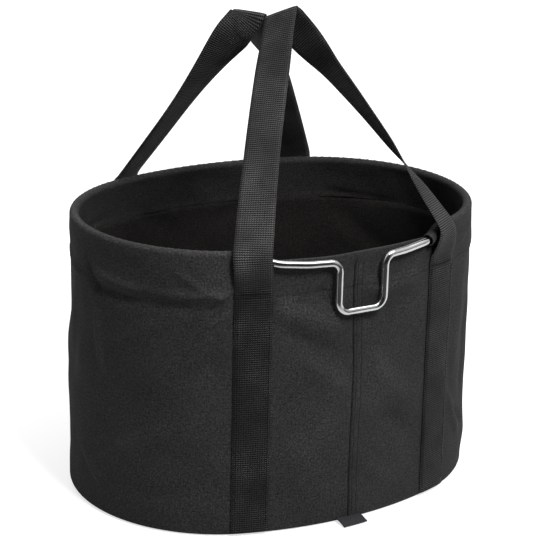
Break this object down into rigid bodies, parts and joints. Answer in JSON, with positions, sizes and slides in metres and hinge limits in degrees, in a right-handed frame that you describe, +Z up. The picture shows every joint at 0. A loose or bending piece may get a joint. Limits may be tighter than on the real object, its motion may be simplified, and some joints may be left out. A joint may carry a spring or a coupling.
{
  "type": "handlebar basket",
  "caption": "Oval cloth basket with a rod-stiffened rim, a U-shaped rod hanger for a handlebar adapter and webbing carry handles.",
  "frame": {"origin": "on the ground, at the middle of the base's underside", "axes": "+X along the oval's long axis, -Y towards the hanger side, +Z up"},
  "size_m": [0.35, 0.2763, 0.4044],
  "materials": {
    "shell_cloth": "matte dark grey woven polyester",
    "lining_cloth": "matte black coated cloth",
    "webbing": "ribbed dark webbing with a slight sheen",
    "binding_tape": "fine ribbed binding tape",
    "rod_chrome": "bright chrome-plated steel",
    "board_plastic": "plain black sheet",
    "thread": "black sewing thread",
    "tag_weave": "plain black woven tag"
  },
  "bodies": {
    "basket": {"shell": "shell_cloth", "base_panel": "shell_cloth", "lining": "lining_cloth", "rim_facing": "shell_cloth", "rim_tunnel": "shell_cloth", "frame_ring": "rod_chrome", "base_board": "board_plastic", "base_lining": "lining_cloth", "base_seam_tape": "binding_tape", "rear_seam_tape": "binding_tape", "rear_left_strap": "webbing", "rear_right_strap": "webbing", "front_left_strap": "webbing", "front_right_strap": "webbing", "bar_tacks": "thread", "tag": "tag_weave"},
    "rear_loop": {"rear_handle": "webbing"},
    "front_loop": {"front_handle": "webbing"}
  },
  "joints": [
    {"name": "rear_handle_swing", "type": "hinge", "parent": "basket", "child": "rear_loop", "pos_m": [0, -0.1245, 0.206], "axis": [1, 0, 0], "range_deg": [0, 165]},
    {"name": "front_handle_swing", "type": "hinge", "parent": "basket", "child": "front_loop", "pos_m": [0, 0.1245, 0.206], "axis": [-1, 0, 0], "range_deg": [0, 165]}
  ]
}
